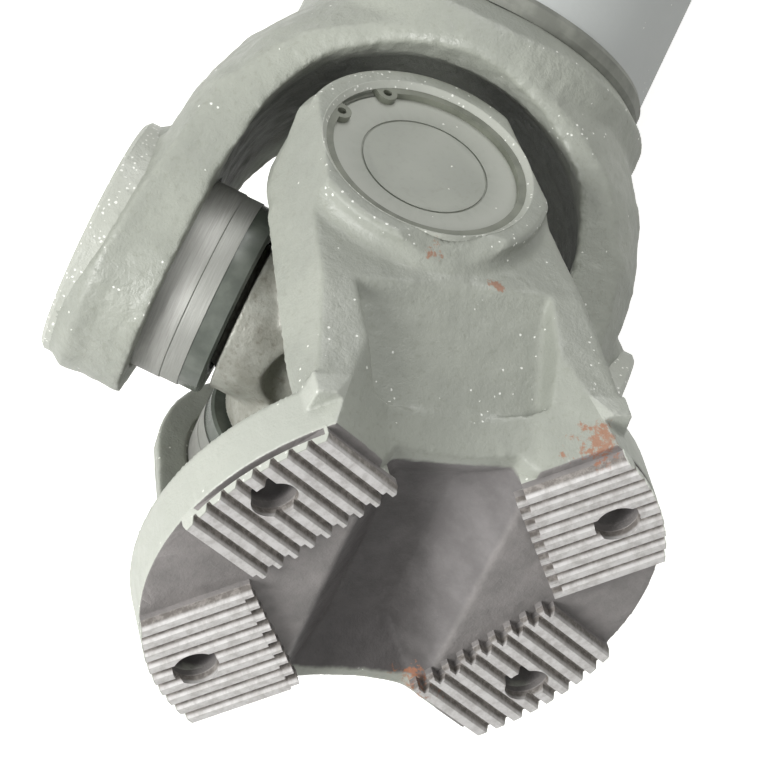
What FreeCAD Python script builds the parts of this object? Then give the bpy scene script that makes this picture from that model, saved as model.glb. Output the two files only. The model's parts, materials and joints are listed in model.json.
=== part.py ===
import FreeCAD, Part
import math
import os

from FreeCAD import BoundBox, Matrix, Placement, Vector

os.makedirs("parts", exist_ok=True)

# Driving dimensions, in millimetres and degrees.
# Every yoke is drawn with its cross centre at the origin, its bearing bores
# along X and its stem towards +Z, and is placed in the whole shaft at the end.

# Bearing bores and cups, measured from the cross centre
bore_radius = 36.0
boss_radius = 44.5
boss_face = 96.0
boss_chamfer = 1.5
ear_inner_face = 64.0
ear_outer_face = 87.0
boss_foot_radius = 47.8
boss_foot_height = 4.5
ear_draft = 1.75
spot_face_depth = 12.0
bore_mouth_chamfer = 1.8
cup_outer_end = 91.5
cup_mouth = 46.5
cup_floor = 6.0
cup_bore_radius = 29.0
cup_step = 53.5
cup_step_depth = 0.35
cup_chamfer = 1.2
cup_mark_radius = 22.0
cup_mark_width = 0.8
cup_mark_depth = 0.5
circlip_thickness = 2.5
circlip_width = 2.6
circlip_groove_depth = 1.8
circlip_gap_degrees = 28.0
circlip_eye_radius = 3.5
circlip_eye_hole = 1.6
circlip_turn = 211.6

# Journals, needle rollers and seals
journal_radius = 23.0
roller_radius = 2.9
roller_start = 55.0
roller_length = 25.0
running_clearance = 0.05
thrust_washer_thickness = 2.0
seal_start = 38.3
seal_radius = 35.2
seal_lip_clearance = 0.4

# Cross
cross_shoulder = 36.0
cross_shoulder_radius = 31.0
cross_hub_radius = 37.0
cross_hub_half_height = 24.0
cross_recess_radius = 19.0
cross_recess_depth = 6.0
journal_relief = 2.0
journal_chamfer = 1.5
nipple_thread_radius = 3.0
nipple_hex_radius = 5.0
nipple_height = 12.0

# Flange yoke
flange_face = 113.8
flange_radius = 90.0
flange_thickness = 18.2
pad_height = 5.6
tooth_height = 2.8
tooth_pitch = 6.7
tooth_crest = 4.1
tooth_root_gap = 0.9
teeth_per_pad = 9
pad_length = 40.5
tooth_end_step = 3.5
tooth_angle = 55.0
bolt_edge_distance = 15.0
bolt_hole_radius = 8.0
flange_arch_top = 78.0
flange_ear_draft = 5.25
flank_half_width = 38.4
flank_lean_out = 0.331
flank_lean_down = 0.112
flange_rib_foot = 79.5
pocket_top = 54.0
pocket_half_width = 35.0
pocket_wall_draft = 0.22
pocket_length = 40.0
pocket_extra = 3.0
saddle_half_width = 37.0
saddle_skirt = 55.0
bite_bottom = 50.0
bite_half_width = 25.0
bite_sag = 4.0
bite_slope = 0.57
hollow_half_width = 28.0
hollow_floor_half_width = 11.0
hollow_floor = 24.0
hollow_half_length = 36.0
hollow_end_half_length = 53.0
hollow_lip_depth = 12.0

# Tube yoke and slip yoke
shaft_arch_top = 106.0
hub_radius = 67.5
hub_edge_above_arch = 9.0
hub_chamfer_length = 8.5
weld_gap = 4.0
weld_bevel = 2.0
weld_crown = 1.2
spigot_length = 18.0
spigot_wall = 9.0

# Tube and splined slip section
tube_radius = 60.0
tube_wall = 6.0
tube_length = 178.0
stub_cone_length = 34.0
stub_neck_radius = 39.0
stub_neck_length = 10.0
spline_minor_radius = 31.0
spline_major_radius = 35.0
spline_teeth = 16
spline_tooth_tip = 4.6
spline_tooth_root = 7.0
spline_length = 118.0
spline_clearance = 0.35
sleeve_radius = 47.0
sleeve_overlap = 100.0
sleeve_gap = 32.0
cover_radius = 51.0
cover_length = 24.0
cover_wall = 2.0
plug_thickness = 3.0
plug_seat = 7.0
balance_weight_length = 42.0
balance_weight_width_degrees = 26.0
balance_weight_thickness = 4.0

# Angles at rest and places in the whole shaft
flange_swing = -30.5
shaft_swing = 34.0

# Values worked out from the driving dimensions
hub_edge = shaft_arch_top + hub_edge_above_arch
hub_end = hub_edge + hub_chamfer_length
hub_start = hub_edge - 11.0
pad_inner_distance = flange_radius - pad_length
bolt_circle_radius = flange_radius - bolt_edge_distance
tube_start = hub_end + weld_gap
tube_end = tube_start + tube_length
stub_start = tube_end + weld_gap
spline_start = stub_start + stub_cone_length + stub_neck_length
sleeve_start = spline_start + sleeve_gap - stub_neck_length
spline_end = spline_start + spline_length
sleeve_end = sleeve_start + sleeve_overlap
cross_spacing = sleeve_end + hub_end + stub_neck_length
base_face = flange_face - pad_height
flange_back = base_face - flange_thickness
circlip_groove_radius = bore_radius + circlip_groove_depth
pad_half_width = (teeth_per_pad - 1) * tooth_pitch / 2 + (tooth_crest + tooth_pitch) / 4
journal_end = cup_outer_end - cup_floor - thrust_washer_thickness - running_clearance * 2
roller_pitch_radius = journal_radius + running_clearance + roller_radius


def box(x0, x1, y0, y1, z0, z1):
    return Part.makeBox(x1 - x0, y1 - y0, z1 - z0, Vector(x0, y0, z0))


def face_of(points, to_vector):
    corners = [to_vector(*p) for p in points]
    return Part.Face(Part.makePolygon(corners + corners[:1]))


def turned(profile, axis):
    """Solid of revolution of (along, radius) points about the X or Z axis."""
    if axis == "x":
        to_vector = lambda a, r: Vector(a, r, 0)
        direction = Vector(1, 0, 0)
    else:
        to_vector = lambda a, r: Vector(r, 0, a)
        direction = Vector(0, 0, 1)
    return face_of(profile, to_vector).revolve(Vector(0, 0, 0), direction, 360)


def ring(axis, start, end, inner, outer):
    return turned([(start, inner), (end, inner), (end, outer), (start, outer)], axis)


def rod(axis, start, end, radius):
    directions = {"x": Vector(1, 0, 0), "y": Vector(0, 1, 0), "z": Vector(0, 0, 1)}
    d = directions[axis]
    return Part.makeCylinder(radius, end - start, d * start, d)


def both_sides(shape):
    """A shape with its mirror image on the other side of the YZ plane."""
    return [shape, shape.mirror(Vector(0, 0, 0), Vector(1, 0, 0))]


def fused(shapes):
    return shapes[0].multiFuse(shapes[1:]).removeSplitter()


# Yokes

def ear_outline(x, tip_radius, side):
    """Wire of an ear seen along its bore: a round tip and sides that follow
    the (half width, height) points towards the stem."""
    right = [Vector(x, w, h) for w, h in side]
    left = [Vector(x, -w, h) for w, h in reversed(side)]
    tip = Part.Arc(
        Vector(x, -tip_radius, 0), Vector(x, 0, -tip_radius), Vector(x, tip_radius, 0)
    ).toShape()
    chain = [tip]
    points = [Vector(x, tip_radius, 0)] + right + left + [Vector(x, -tip_radius, 0)]
    for a, b in zip(points, points[1:]):
        chain.append(Part.LineSegment(a, b).toShape())
    return Part.Wire(chain)


def ear_block(flare, tip_radius, draft):
    """Both ears as drafted forgings: wider inside than outside."""
    wires = []
    for x, widening in ((0.0, 2 * draft), (boss_face, 0.0)):
        tip = tip_radius + widening
        side = [(tip + grow, height) for grow, height in flare]
        wires.append(ear_outline(x, tip, side))
    half = Part.makeLoft(wires, True, True)
    return both_sides(half)


def side_band(outer, arch_top):
    """Fork seen along Y: the outer line of (x, z) points and the round arch."""
    centre = arch_top - ear_inner_face
    low = -2 * boss_radius
    right = [Vector(x, 0, z) for x, z in outer]
    left = [Vector(-x, 0, z) for x, z in reversed(outer)]
    points = [Vector(ear_inner_face, 0, low)] + [Vector(outer[0][0], 0, low)] + right
    points += left + [Vector(-outer[0][0], 0, low), Vector(-ear_inner_face, 0, low)]
    points += [Vector(-ear_inner_face, 0, centre)]
    edges = [Part.LineSegment(a, b).toShape() for a, b in zip(points, points[1:])]
    edges.append(
        Part.Arc(
            Vector(-ear_inner_face, 0, centre),
            Vector(0, 0, arch_top),
            Vector(ear_inner_face, 0, centre),
        ).toShape()
    )
    edges.append(
        Part.LineSegment(
            Vector(ear_inner_face, 0, centre), Vector(ear_inner_face, 0, low)
        ).toShape()
    )
    half_depth = 1.5 * hub_radius
    face = Part.Face(Part.Wire(edges))
    face.translate(Vector(0, -half_depth, 0))
    return face.extrude(Vector(0, 2 * half_depth, 0))


def bosses():
    """Round bosses with coned feet and chamfered faces round the bores."""
    profile = [
        (ear_inner_face, 0),
        (ear_inner_face, boss_radius),
        (ear_outer_face - 1, boss_foot_radius),
        (ear_outer_face, boss_foot_radius),
        (ear_outer_face + boss_foot_height * 0.4, boss_radius + 1.5),
        (ear_outer_face + boss_foot_height, boss_radius),
        (boss_face - boss_chamfer, boss_radius),
        (boss_face, boss_radius - boss_chamfer),
        (boss_face, 0),
    ]
    return both_sides(turned(profile, "x"))


def bore_tools():
    """Bearing bores with their circlip grooves, mouth chamfers and the spot
    faces that clear the arch on the inside."""
    profile = [
        (ear_inner_face - spot_face_depth, 0),
        (ear_inner_face - spot_face_depth, bore_radius + boss_chamfer),
        (ear_inner_face, bore_radius + boss_chamfer),
        (ear_inner_face + boss_chamfer, bore_radius),
        (cup_outer_end, bore_radius),
        (cup_outer_end, circlip_groove_radius),
        (cup_outer_end + circlip_thickness, circlip_groove_radius),
        (cup_outer_end + circlip_thickness, bore_radius),
        (boss_face - bore_mouth_chamfer, bore_radius),
        (boss_face, bore_radius + bore_mouth_chamfer),
        (boss_face + 1, bore_radius + bore_mouth_chamfer),
        (boss_face + 1, 0),
    ]
    return both_sides(turned(profile, "x"))


def fork(ears, outer, arch_top):
    """Two ears joined by an arched saddle, before its bores are cut."""
    band = side_band(outer, arch_top)
    return fused([half.common(band) for half in ears] + bosses())


# Flange yoke

def tooth_profile(centre, z_root, z_crest):
    root_half = (tooth_pitch - tooth_root_gap) / 2
    crest_half = tooth_crest / 2
    return [
        (centre - root_half, z_root),
        (centre - crest_half, z_crest),
        (centre + crest_half, z_crest),
        (centre + root_half, z_root),
    ]


def half_tooth_profile(centre, z_root, z_crest):
    """The half of a tooth that runs on past the pad's inner end."""
    root_half = (tooth_pitch - tooth_root_gap) / 2
    crest_half = tooth_crest / 2
    return [
        (centre - root_half, base_face - 1),
        (centre - root_half, z_root),
        (centre - crest_half, z_crest),
        (centre, z_crest),
        (centre, base_face - 1),
    ]


def toothed_pad():
    """Raised pad with teeth along +X, trimmed to the flange rim."""
    root = flange_face - tooth_height
    start = pad_inner_distance
    end = flange_radius + tooth_pitch
    plate = box(start, end, -pad_half_width, pad_half_width, base_face - 1, root)
    pieces = [plate]
    for i in range(teeth_per_pad):
        centre = (i - (teeth_per_pad - 1) / 2) * tooth_pitch
        section = face_of(
            tooth_profile(centre, root, flange_face), lambda y, z: Vector(start, y, z)
        )
        pieces.append(section.extrude(Vector(end - start, 0, 0)))
        step = face_of(
            half_tooth_profile(centre, root, flange_face),
            lambda y, z: Vector(start - tooth_end_step, y, z),
        )
        pieces.append(step.extrude(Vector(tooth_end_step, 0, 0)))
    pad = fused(pieces)
    rim = rod("z", base_face - 2, flange_face + 1, flange_radius)
    return pad.common(rim)


def pad_angles():
    return [tooth_angle, 180 - tooth_angle, 180 + tooth_angle, -tooth_angle]


def bite_tool():
    """Slanting cut beside the pads that leaves the ear as a hollow panel."""
    edge = pad_half_width
    lean = math.radians(tooth_angle)
    corner_x = bite_bottom + bite_sag
    far = 2 * flange_radius
    far_y = (far * math.sin(lean) - edge) / math.cos(lean)
    start_y = (corner_x * math.sin(lean) - edge) / math.cos(lean)
    z = flange_face + 1
    arc = Part.Arc(
        Vector(corner_x, -start_y, z), Vector(bite_bottom, 0, z), Vector(corner_x, start_y, z)
    ).toShape()
    points = [Vector(corner_x, start_y, z), Vector(far, far_y, z)]
    points += [Vector(far, -far_y, z), Vector(corner_x, -start_y, z)]
    edges = [arc] + [Part.LineSegment(a, b).toShape() for a, b in zip(points, points[1:])]
    depth = flange_face
    face = Part.Face(Part.Wire(edges))
    return face.extrude(Vector(bite_slope * depth, 0, -depth))


def flank_tools():
    """Wedges that trim both sides of each ear to flat drafted flanks."""
    low = -2 * boss_radius
    rise = flange_back - low
    reach = 2 * boss_face
    tools = []
    for side in (1, -1):
        def edge(x):
            return flank_half_width + flank_lean_out * (boss_face - x) + flank_lean_down * low
        section = face_of(
            [(0, edge(0)), (reach, edge(reach)), (reach, reach), (0, reach)],
            lambda x, y: Vector(x, side * y, low),
        )
        tools += both_sides(section.extrude(Vector(0, side * flank_lean_down * rise, rise)))
    return tools


def pocket_tool():
    """Square-cornered pocket in the panel of an ear, above the bite."""
    def floor_at(z):
        return bite_bottom + bite_slope * (flange_face + 1 - z)
    reach = 2 * boss_face
    half_depth = pocket_half_width + reach * pocket_wall_draft
    bottom = pocket_top + pocket_length
    lift = bite_slope * 8
    side = face_of(
        [
            (floor_at(pocket_top) - pocket_extra, pocket_top + lift * 0.6),
            (ear_outer_face + 1, pocket_top - lift * 0.4),
            (reach, pocket_top - lift * 0.4),
            (reach, bottom),
            (floor_at(bottom), bottom),
        ],
        lambda x, z: Vector(x, -half_depth, z),
    ).extrude(Vector(0, 2 * half_depth, 0))

    def wall(x):
        return pocket_half_width + pocket_wall_draft * (x - ear_outer_face)
    plan = face_of(
        [(0, -wall(0)), (reach, -wall(reach)), (reach, wall(reach)), (0, wall(0))],
        lambda x, y: Vector(x, y, pocket_top - lift),
    ).extrude(Vector(0, 0, pocket_length + 2 * lift))
    return side.common(plan)


def hollow_tool():
    """Trough across the flange face between the two bites."""
    top = flange_face + 1
    floor = flange_face - hollow_floor
    lip = flange_face - hollow_lip_depth
    rise = (hollow_half_width - hollow_floor_half_width) / (hollow_floor - pad_height)
    top_half = hollow_half_width + rise * (pad_height + 1)
    section = face_of(
        [
            (-top_half, top),
            (-hollow_floor_half_width, floor),
            (hollow_floor_half_width, floor),
            (top_half, top),
        ],
        lambda y, z: Vector(-flange_radius, y, z),
    )
    trough = section.extrude(Vector(2 * flange_radius, 0, 0))
    reach = flange_radius
    side = face_of(
        [
            (-reach, top),
            (-reach, lip),
            (-hollow_end_half_length, lip),
            (-hollow_half_length, floor),
            (hollow_half_length, floor),
            (hollow_end_half_length, lip),
            (reach, lip),
            (reach, top),
        ],
        lambda x, z: Vector(x, -flange_radius, z),
    )
    return trough.common(side.extrude(Vector(0, 2 * flange_radius, 0)))


def saddle_tools():
    """Sloping cuts that clear the ears of the other yoke beside the saddle."""
    tools = []
    for side in (1, -1):
        section = face_of(
            [
                (side * saddle_half_width, 0),
                (side * saddle_half_width, flange_arch_top),
                (side * saddle_skirt, flange_back),
                (side * 2 * flange_radius, flange_back),
                (side * 2 * flange_radius, 0),
            ],
            lambda y, z: Vector(-ear_inner_face, y, z),
        )
        tools.append(section.extrude(Vector(2 * ear_inner_face, 0, 0)))
    return tools


def flange_yoke():
    foot = flange_back + flange_thickness / 2
    flare = [
        (2.5, boss_radius * 0.18),
        (6.5, boss_radius),
        (9.5, boss_radius * 1.7),
        (9.5, foot),
    ]
    outer = [
        (ear_outer_face, 0),
        (ear_outer_face, boss_face * 0.56),
        (flange_rib_foot, flange_back),
        (flange_rib_foot, foot),
    ]
    ears = ear_block(flare, boss_radius, flange_ear_draft)
    body = fork(ears, outer, flange_arch_top)
    for tool in flank_tools() + saddle_tools() + both_sides(pocket_tool()):
        body = body.cut(tool)
    disc = rod("z", flange_back, base_face, flange_radius)
    pads = []
    pad = toothed_pad()
    for angle in pad_angles():
        turned_pad = pad.copy()
        turned_pad.rotate(Vector(0, 0, 0), Vector(0, 0, 1), angle)
        pads.append(turned_pad)
    body = fused([body, disc] + pads)
    body = body.cut(hollow_tool())
    for tool in both_sides(bite_tool()):
        body = body.cut(tool)
    for angle in pad_angles():
        a = math.radians(angle)
        hole = rod("z", flange_back - 1, flange_face + 1, bolt_hole_radius)
        hole.translate(
            Vector(bolt_circle_radius * math.cos(a), bolt_circle_radius * math.sin(a), 0)
        )
        body = body.cut(hole)
    for tool in bore_tools():
        body = body.cut(tool)
    return body


# Tube yoke, tube, weld beads and slip section

def shaft_fork():
    """Fork that both shaft yokes share, up to the start of the hub."""
    flare = [
        (1.0, boss_radius * 0.8),
        (4.0, boss_radius * 1.6),
        (11.0, shaft_arch_top * 0.92),
        (hub_radius - boss_foot_radius, hub_edge - 3),
        (hub_radius - boss_foot_radius, hub_edge),
    ]
    outer = [
        (ear_outer_face, 0),
        (ear_outer_face - 1, boss_face * 0.5),
        (ear_outer_face - 4, boss_face * 0.68),
        (ear_outer_face - 10, boss_face * 0.87),
        (hub_radius + 3, hub_start - 5),
        (hub_radius, hub_start + 2),
        (hub_radius, hub_edge),
    ]
    barrel = turned(
        [
            (-2 * boss_radius, 0),
            (-2 * boss_radius, boss_face + 2),
            (0, boss_face + 2),
            (boss_face * 0.6, boss_face - 5),
            (boss_face * 0.87, boss_face - 15),
            (hub_start, hub_radius),
            (hub_edge, hub_radius),
            (hub_edge, 0),
        ],
        "z",
    )
    ears = ear_block(flare, boss_foot_radius - ear_draft, ear_draft)
    return fork(ears, outer, shaft_arch_top).common(barrel)


def tube_yoke():
    inner = tube_radius - tube_wall
    hub = turned(
        [
            (shaft_arch_top, 0),
            (shaft_arch_top, hub_radius - 2),
            (shaft_arch_top + 2, hub_radius),
            (hub_edge, hub_radius),
            (hub_end - weld_bevel, tube_radius),
            (hub_end, inner),
            (hub_end + spigot_length, inner),
            (hub_end + spigot_length, inner - spigot_wall),
            (hub_end, inner - spigot_wall),
            (hub_end, 0),
        ],
        "z",
    )
    body = fused([shaft_fork(), hub])
    for tool in bore_tools():
        body = body.cut(tool)
    return body


def weld_bead(start):
    """Ring that fills the bevelled gap at start and stands a little proud."""
    inner = tube_radius - tube_wall
    return turned(
        [
            (start, inner),
            (start + weld_gap, inner),
            (start + weld_gap + weld_bevel, tube_radius),
            (start + weld_gap, tube_radius + weld_crown),
            (start, tube_radius + weld_crown),
            (start - weld_bevel, tube_radius),
        ],
        "z",
    )


def shaft_tube():
    inner = tube_radius - tube_wall
    return turned(
        [
            (tube_start, inner),
            (tube_start + weld_bevel, tube_radius),
            (tube_end - weld_bevel, tube_radius),
            (tube_end, inner),
        ],
        "z",
    )


def spline_section(grow):
    """Face of a splined bar, grown all round by a clearance."""
    step = 360.0 / spline_teeth
    tip_half = spline_tooth_tip / 2 + grow
    root_half = spline_tooth_root / 2 + grow
    outer = spline_major_radius + grow
    inner = spline_minor_radius + grow
    corners = []
    for i in range(spline_teeth):
        for radius, half in ((inner, -root_half), (outer, -tip_half), (outer, tip_half), (inner, root_half)):
            a = math.radians(i * step) + math.asin(half / radius)
            corners.append(Vector(radius * math.cos(a), radius * math.sin(a), 0))
    return Part.Face(Part.makePolygon(corners + corners[:1]))


def splined_shaft():
    inner = tube_radius - tube_wall
    root = turned(
        [
            (stub_start - spigot_length, 0),
            (stub_start - spigot_length, inner),
            (stub_start, inner),
            (stub_start + weld_bevel, tube_radius),
            (stub_start + weld_bevel * 3, tube_radius),
            (stub_start + stub_cone_length, stub_neck_radius),
            (spline_start, stub_neck_radius),
            (spline_start, 0),
        ],
        "z",
    )
    bar = spline_section(0.0)
    bar.translate(Vector(0, 0, spline_start - 1))
    splined = bar.extrude(Vector(0, 0, spline_length + 1))
    return fused([root, splined])


def slip_yoke():
    """Fork and splined sleeve in one forging, drawn with its own cross at
    the origin and the open end of the sleeve towards +Z."""
    length = cross_spacing - sleeve_start
    hub = turned(
        [
            (shaft_arch_top, 0),
            (shaft_arch_top, hub_radius - 2),
            (shaft_arch_top + 2, hub_radius),
            (hub_edge, hub_radius),
            (hub_end + spigot_length, sleeve_radius + 3),
            (hub_end + spigot_length * 2, sleeve_radius),
            (length, sleeve_radius),
            (length, 0),
        ],
        "z",
    )
    body = fused([shaft_fork(), hub])
    bore = spline_section(spline_clearance)
    bore.translate(Vector(0, 0, shaft_arch_top + plug_seat))
    body = body.cut(bore.extrude(Vector(0, 0, length)))
    seat = rod("z", 0, shaft_arch_top + plug_seat + 1, spline_major_radius + 1)
    body = body.cut(seat)
    nipple_hole = rod("y", 0, sleeve_radius + 1, nipple_thread_radius)
    nipple_hole.translate(Vector(0, 0, hub_end + spigot_length * 2 + nipple_height))
    body = body.cut(nipple_hole)
    for tool in bore_tools():
        body = body.cut(tool)
    return body


def bore_plug():
    """Domed plug pressed into the saddle end of the spline bore."""
    seat = shaft_arch_top + plug_seat
    radius = spline_major_radius + 1
    rise = plug_seat - plug_thickness
    return turned(
        [
            (seat + 1 - plug_thickness, radius),
            (seat + 1, radius),
            (seat + 1 - rise / 2, radius / 2),
            (seat + 1 - rise / 2, 0),
            (seat + 1 - rise / 2 - plug_thickness, 0),
            (seat + 1 - rise / 2 - plug_thickness, radius / 2),
        ],
        "z",
    )


def seal_cover():
    """Pressed steel cap over the open end of the sleeve."""
    end = cross_spacing - sleeve_start
    lip = spline_major_radius + spline_clearance * 2
    face = end + cover_length / 2
    return turned(
        [
            (end - cover_length / 2, sleeve_radius),
            (face - cover_wall, sleeve_radius),
            (face - cover_wall, lip + 2),
            (face, lip + 2),
            (face, cover_radius - cover_wall),
            (face - cover_wall, cover_radius),
            (end - cover_length / 2, cover_radius),
        ],
        "z",
    )


def dust_seal():
    """Rubber wiper ring trapped between the sleeve and its cover."""
    end = cross_spacing - sleeve_start
    lip = spline_major_radius + spline_clearance * 2
    face = end + cover_length / 2 - cover_wall
    return turned(
        [
            (end, lip + 3),
            (end + 2, lip),
            (end + 4, lip + 2),
            (face - 2, lip + 2),
            (face - 2, lip),
            (face, lip),
            (face, sleeve_radius),
            (end, sleeve_radius),
        ],
        "z",
    )


def balance_weight():
    """Curved plate welded on the tube."""
    plate = ring("z", 0, balance_weight_length, tube_radius, tube_radius + balance_weight_thickness)
    half = math.radians(balance_weight_width_degrees / 2)
    reach = 2 * tube_radius
    wedge = face_of(
        [
            (0, 0),
            (reach * math.cos(half), -reach * math.sin(half)),
            (reach * math.cos(half), reach * math.sin(half)),
        ],
        lambda x, y: Vector(x, y, 0),
    ).extrude(Vector(0, 0, balance_weight_length))
    return plate.common(wedge)


def grease_nipple(base):
    """Nipple whose thread starts at the origin and whose seat is at base."""
    hex_top = base + nipple_height * 0.4
    neck = nipple_thread_radius * 0.75
    hexagon = [
        (nipple_hex_radius * math.cos(math.radians(60 * i)), nipple_hex_radius * math.sin(math.radians(60 * i)))
        for i in range(6)
    ]
    nut = face_of(hexagon, lambda x, y: Vector(x, y, base)).extrude(Vector(0, 0, hex_top - base))
    stem = turned(
        [
            (0, 0),
            (0, nipple_thread_radius),
            (base, nipple_thread_radius),
            (hex_top, nipple_thread_radius),
            (hex_top + 2, neck),
            (hex_top + 4, neck),
            (hex_top + 5.5, nipple_thread_radius),
            (base + nipple_height, neck / 2),
            (base + nipple_height, 0),
        ],
        "z",
    )
    return fused([nut, stem])


# Cross and bearings

def cross():
    arm = [
        (0, 0),
        (0, cross_shoulder_radius - 4),
        (cross_shoulder - 8, cross_shoulder_radius),
        (cross_shoulder, cross_shoulder_radius),
        (cross_shoulder, journal_radius + journal_relief),
        (cross_shoulder + journal_relief, journal_radius),
        (journal_end - journal_chamfer, journal_radius),
        (journal_end, journal_radius - journal_chamfer),
        (journal_end, 0),
    ]
    arms = both_sides(turned(arm, "x"))
    for shape in list(arms):
        side_arm = shape.copy()
        side_arm.rotate(Vector(0, 0, 0), Vector(0, 0, 1), 90)
        arms.append(side_arm)
    half = cross_hub_half_height
    hub = turned(
        [
            (-half, 0),
            (-half, cross_hub_radius - 8),
            (-half + 8, cross_hub_radius),
            (half - 8, cross_hub_radius),
            (half, cross_hub_radius - 8),
            (half, 0),
        ],
        "z",
    )
    body = fused(arms + [hub])
    for side in (1, -1):
        level = side * (half + 10)
        depth = half - cross_recess_depth
        recess = turned(
            [
                (side * depth, 0),
                (side * depth, cross_recess_radius - 4),
                (side * (depth + 4), cross_recess_radius),
                (level, cross_recess_radius),
                (level, 0),
            ],
            "z",
        )
        body = body.cut(recess)
    thread = rod("z", -half, -half + nipple_height, nipple_thread_radius)
    return body.cut(thread)


def bearing_cup():
    floor = cup_outer_end - cup_floor
    shell = turned(
        [
            (cup_mouth, cup_bore_radius),
            (floor, cup_bore_radius),
            (floor, 0),
            (cup_outer_end, 0),
            (cup_outer_end, bore_radius - cup_chamfer),
            (cup_outer_end - cup_chamfer, bore_radius),
            (cup_step, bore_radius),
            (cup_step - cup_step_depth, bore_radius - cup_step_depth),
            (cup_mouth, bore_radius - cup_step_depth),
        ],
        "x",
    )
    mark = ring(
        "x",
        cup_outer_end - cup_mark_depth,
        cup_outer_end + 1,
        cup_mark_radius,
        cup_mark_radius + cup_mark_width,
    )
    return shell.cut(mark)


def cup_seal():
    lip = journal_radius + journal_relief + seal_lip_clearance
    return turned(
        [
            (seal_start, lip + 2),
            (seal_start + 2, lip),
            (seal_start + 4, lip + 2),
            (cup_mouth, lip + 2),
            (cup_mouth, seal_radius),
            (seal_start + 1, seal_radius),
            (seal_start, seal_radius - 1),
        ],
        "x",
    )


def circlip():
    start = cup_outer_end
    outer = circlip_groove_radius
    inner = bore_radius - circlip_width
    clip = ring("x", start, start + circlip_thickness, inner, outer)
    half = math.radians(circlip_gap_degrees / 2)
    reach = 2 * outer
    gap = face_of(
        [
            (0, 0),
            (reach * math.sin(half), reach * math.cos(half)),
            (-reach * math.sin(half), reach * math.cos(half)),
        ],
        lambda y, z: Vector(start - 1, y, z),
    ).extrude(Vector(circlip_thickness + 2, 0, 0))
    clip = clip.cut(gap)
    eye_place = inner + circlip_width * 0.15
    eye_angle = half + math.asin(circlip_eye_radius / eye_place)
    eyes = []
    holes = []
    for side in (1, -1):
        place = Vector(
            0, side * eye_place * math.sin(eye_angle), eye_place * math.cos(eye_angle)
        )
        eye = rod("x", start, start + circlip_thickness, circlip_eye_radius)
        hole = rod("x", start - 1, start + circlip_thickness + 1, circlip_eye_hole)
        eye.translate(place)
        hole.translate(place)
        eyes.append(eye)
        holes.append(hole)
    clip = fused([clip] + eyes)
    for hole in holes:
        clip = clip.cut(hole)
    clip.rotate(Vector(0, 0, 0), Vector(1, 0, 0), circlip_turn)
    return clip


def needle_rollers():
    """Full set of rollers, as one compound of separate solids."""
    count = int(math.pi / math.asin(roller_radius / roller_pitch_radius) * 0.985)
    rollers = []
    for i in range(count):
        a = 2 * math.pi * i / count
        roller = rod("x", roller_start, roller_start + roller_length, roller_radius)
        roller.translate(
            Vector(0, roller_pitch_radius * math.cos(a), roller_pitch_radius * math.sin(a))
        )
        rollers.append(roller)
    return Part.makeCompound(rollers)


def thrust_washer():
    floor = cup_outer_end - cup_floor
    return ring(
        "x",
        floor - thrust_washer_thickness,
        floor,
        journal_radius * 0.3,
        journal_radius - journal_chamfer,
    )


def bearing_parts():
    """The pieces that sit in one bearing bore, on its +X side."""
    return {
        "bearing_cup": bearing_cup(),
        "cup_seal": cup_seal(),
        "circlip": circlip(),
        "needle_rollers": needle_rollers(),
        "thrust_washer": thrust_washer(),
    }


# Places of the pieces in the whole shaft

def frame_placement(x_axis, y_axis, z_axis, origin):
    m = Matrix(
        x_axis.x, y_axis.x, z_axis.x, origin.x,
        x_axis.y, y_axis.y, z_axis.y, origin.y,
        x_axis.z, y_axis.z, z_axis.z, origin.z,
        0, 0, 0, 1,
    )
    return Placement(m)


def lowest_reach(swing):
    """How far a swung ear's chamfered face reaches below its cross centre."""
    s = math.radians(abs(swing))
    face_edge = boss_face * math.cos(s) + (boss_radius - boss_chamfer) * math.sin(s)
    side_edge = (boss_face - boss_chamfer) * math.cos(s) + boss_radius * math.sin(s)
    return max(face_edge, side_edge)


def joint_frames():
    """Frames of the shaft, the two crosses and the two flange yokes. The
    shaft leans a little, because the swung ear at end A stands higher than
    the flat boss face at end B."""
    tilt = 0.0
    for _ in range(4):
        height_a = lowest_reach(shaft_swing - math.degrees(tilt))
        tilt = math.asin((boss_face - height_a) / cross_spacing)
    along = Vector(math.cos(tilt), 0, math.sin(tilt))
    across = Vector(0, 1, 0)
    up = along.cross(across)
    centre_a = Vector(0, 0, height_a)
    centre_b = centre_a + along * cross_spacing
    g = math.radians(shaft_swing)
    b = math.radians(flange_swing)
    axis_a = along * math.sin(g) + up * math.cos(g)
    stem_ref = along * math.cos(g) - up * math.sin(g)
    y_a = across * math.cos(b) + stem_ref * math.sin(b)
    z_a = across * math.sin(b) - stem_ref * math.cos(b)
    return {
        "tube_yoke": frame_placement(across, across.cross(along) * -1, along, centre_a),
        "slip_yoke": frame_placement(across, up * -1, along * -1, centre_b),
        "cross_a": frame_placement(axis_a, across, axis_a.cross(across), centre_a),
        "flange_a": frame_placement(axis_a, y_a, z_a, centre_a),
        "cross_b": frame_placement(Vector(0, 0, 1), across, Vector(-1, 0, 0), centre_b),
        "flange_b": frame_placement(Vector(0, 0, 1), Vector(0, -1, 0), Vector(1, 0, 0), centre_b),
    }


def placed(shape, placement, spin=0.0):
    """A copy turned by spin about its own Z axis, then put in its place."""
    copy = shape.copy()
    if spin:
        copy.rotate(Vector(0, 0, 0), Vector(0, 0, 1), spin)
    copy.transformShape(placement.toMatrix(), True)
    return copy


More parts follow.
